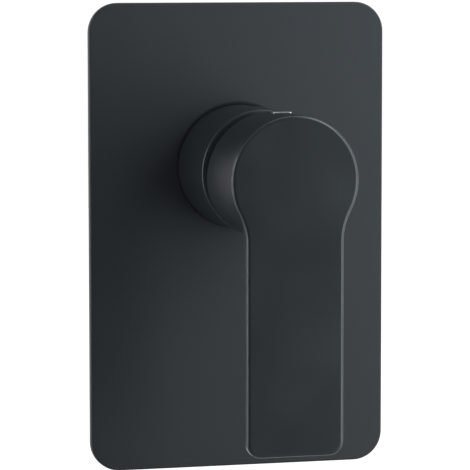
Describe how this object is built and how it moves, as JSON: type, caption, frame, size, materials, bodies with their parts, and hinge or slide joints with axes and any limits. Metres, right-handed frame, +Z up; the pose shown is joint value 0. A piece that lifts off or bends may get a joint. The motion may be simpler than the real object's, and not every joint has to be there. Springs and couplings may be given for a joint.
{
  "type": "concealed mixer tap",
  "caption": "Concealed single-lever mixer tap: matt black wall plate, round sleeve and flat hanging lever over an in-wall brass body with a ceramic-disc cartridge.",
  "frame": {"origin": "where the tap's axis meets the finished wall, on the plane of the gasket's back face", "axes": "+Z up, +Y into the wall, -Y out into the room towards the lever, +X to the right as seen from the room"},
  "size_m": [0.1106, 0.117, 0.17],
  "materials": {
    "matt_black": "matte",
    "bright_plug": "satin",
    "brass": "satin",
    "rubber": "matte",
    "foam": "matte",
    "cartridge_plastic": "satin",
    "carrier_plastic": "satin",
    "ceramic": "satin",
    "steel": "satin"
  },
  "bodies": {
    "wall_set": {"cover_plate": "matt_black", "plate_gasket": "foam", "sleeve_seal": "rubber", "escutcheon_sleeve": "matt_black", "valve_body": "brass", "neck_ring": "rubber", "retaining_nut": "brass", "cartridge_housing": "cartridge_plastic", "cartridge_base": "cartridge_plastic", "base_seals": "rubber", "disc_seals": "rubber", "fixed_disc": "ceramic"},
    "rotor": {"cartridge_rotor": "carrier_plastic", "pivot_pin": "steel"},
    "lever": {"lever_handle": "matt_black", "cartridge_stem": "steel", "grub_screw": "steel", "index_plug": "bright_plug"},
    "disc": {"moving_disc": "ceramic", "disc_carrier": "carrier_plastic"}
  },
  "joints": [
    {"name": "temperature_turn", "type": "hinge", "parent": "wall_set", "child": "rotor", "pos_m": [0, -0.0395, 0], "axis": [0, -1, 0], "range_deg": [-50, 50]},
    {"name": "lever_lift", "type": "hinge", "parent": "rotor", "child": "lever", "pos_m": [0, -0.0395, 0], "axis": [-1, 0, 0], "range_deg": [0, 22]},
    {"name": "disc_slide", "type": "slide", "parent": "rotor", "child": "disc", "axis": [0, 0, -1], "range_m": [0, 0.00462]}
  ],
  "couplings": [
    {"joint": "disc_slide", "follows": "lever_lift", "m_per_rad": 0.012}
  ]
}
